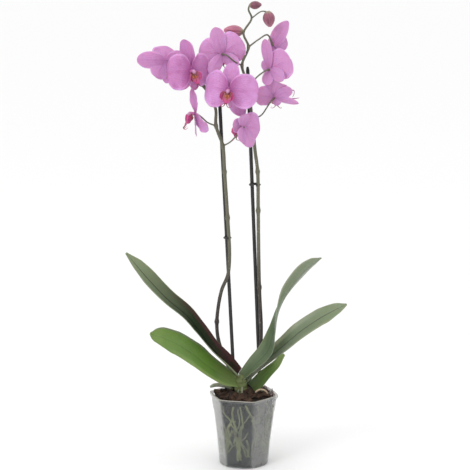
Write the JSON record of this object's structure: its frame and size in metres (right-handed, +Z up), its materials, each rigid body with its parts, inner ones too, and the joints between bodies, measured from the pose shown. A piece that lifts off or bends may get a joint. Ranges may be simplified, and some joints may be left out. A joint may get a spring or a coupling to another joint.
{
  "type": "potted orchid",
  "caption": "Potted moth orchid with strap leaves, staked arching flower spikes, lilac-pink blooms, buds and aerial roots in a clear six-cornered pot of bark.",
  "frame": {"origin": "centre of the pot's base, on the surface it stands on", "axes": "+Z up along the pot's axis; the open flowers face -Y, with +X to their viewer's right"},
  "size_m": [0.3664, 0.1289, 0.7745],
  "materials": {
    "pot": "clear smoky moulded plastic, misted inside",
    "bark": "damp coarse bark chips",
    "crown": "fleshy pale green stem",
    "leaf": "waxy semi-gloss leaf",
    "root": "matt silver-green root skin",
    "spike": "smooth olive stem",
    "stake": "dark plastic-coated rod",
    "clip": "black moulded plastic",
    "bud": "ridged dusky pink bud",
    "sepal": "thin soft lilac sepal",
    "petal": "thin soft lilac petal with fine veins",
    "lip": "waxy magenta lip with a yellow crest"
  },
  "bodies": {
    "root": {"pot": "pot", "stake_left": "stake", "stake_right": "stake", "aerial_root_1": "root", "aerial_root_2": "root", "aerial_root_3": "root", "aerial_root_4": "root", "wall_root_1": "root", "wall_root_2": "root", "wall_root_3": "root", "crown": "crown", "bark_medium": "bark", "spike_left": "spike", "spike_right": "spike", "leaf_1": "leaf", "leaf_2": "leaf", "leaf_3": "leaf", "leaf_4": "leaf", "leaf_5": "leaf", "clip_left": "clip", "clip_right": "clip", "clip_top": "clip", "bud_1": "bud", "bud_2": "bud", "bud_3": "bud", "flower_1_sepals": "sepal", "flower_1_petals": "petal", "flower_1_lip": "lip", "flower_2_sepals": "sepal", "flower_2_petals": "petal", "flower_2_lip": "lip", "flower_3_sepals": "sepal", "flower_3_petals": "petal", "flower_3_lip": "lip", "flower_4_sepals": "sepal", "flower_4_petals": "petal", "flower_4_lip": "lip", "flower_5_sepals": "sepal", "flower_5_petals": "petal", "flower_5_lip": "lip", "flower_6_sepals": "sepal", "flower_6_petals": "petal", "flower_6_lip": "lip", "flower_7_sepals": "sepal", "flower_7_petals": "petal", "flower_7_lip": "lip", "flower_8_sepals": "sepal", "flower_8_petals": "petal", "flower_8_lip": "lip", "flower_9_sepals": "sepal", "flower_9_petals": "petal", "flower_9_lip": "lip"}
  },
  "joints": []
}
